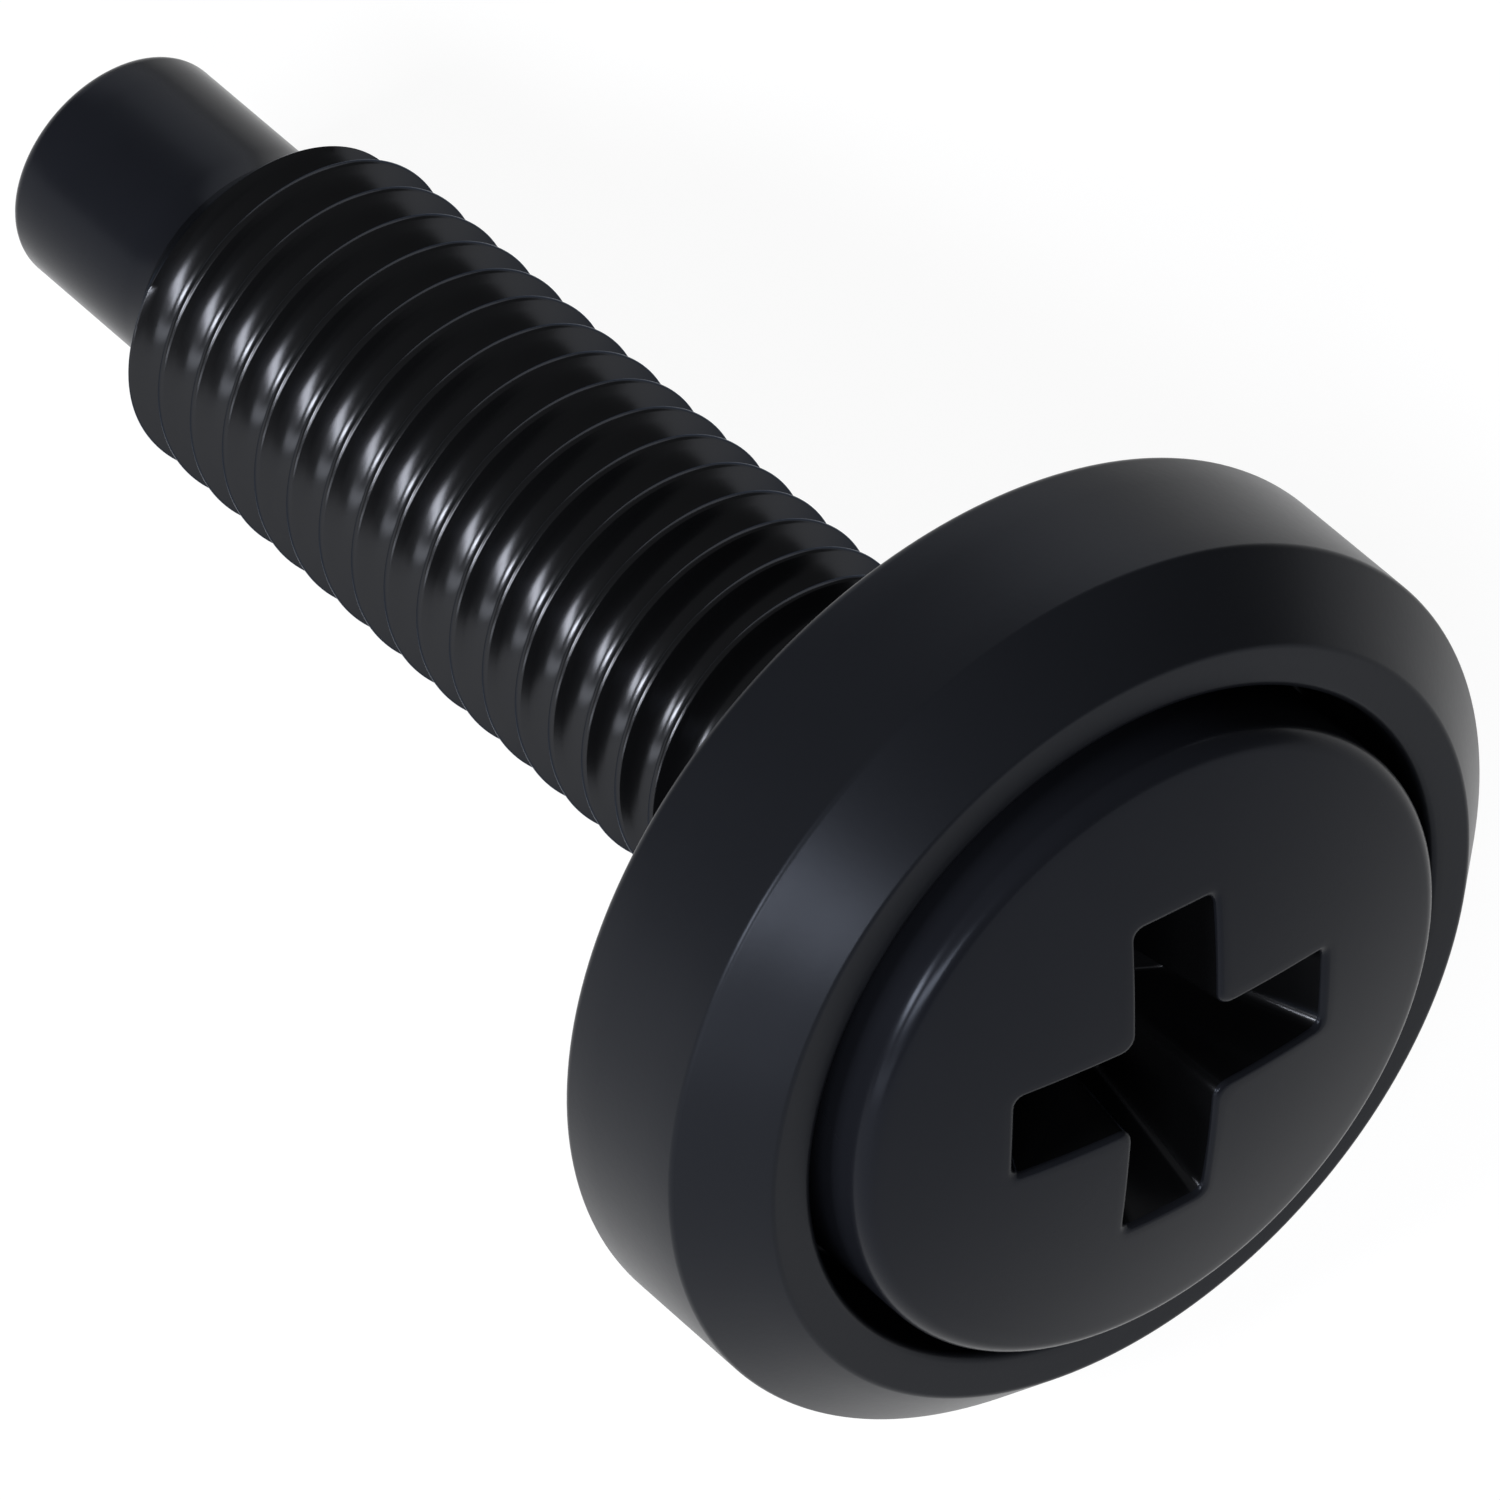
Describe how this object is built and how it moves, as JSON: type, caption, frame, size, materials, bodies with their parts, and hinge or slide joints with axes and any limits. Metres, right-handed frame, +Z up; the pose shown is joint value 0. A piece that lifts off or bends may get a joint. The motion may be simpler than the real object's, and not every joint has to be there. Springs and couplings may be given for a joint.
{
  "type": "server rack screw",
  "caption": "Black server rack screw: domed pan head with a cross recess, machine thread, plain dog point and a loose captive cup washer.",
  "frame": {"origin": "middle of the footprint of the lying screw's box, on the floor", "axes": "+Z up, +X toward the head along the lying screw, +Y to its left; the screw's own axis lies in the XZ plane and rises toward the head by 14.57 degrees"},
  "size_m": [0.0276, 0.0156, 0.0157],
  "materials": {
    "screw_steel": "black coated steel, satin with a soft sheen on the thread",
    "washer_nylon": "black moulded nylon, satin"
  },
  "bodies": {
    "screw_body": {"screw": "screw_steel"},
    "washer_body": {"cup_washer": "washer_nylon"}
  },
  "joints": [
    {"name": "washer_spin", "type": "hinge", "parent": "screw_body", "child": "washer_body", "pos_m": [0.00861, 0, 0.00762], "axis": [0.9678, 0, 0.2516], "continuous": true}
  ]
}
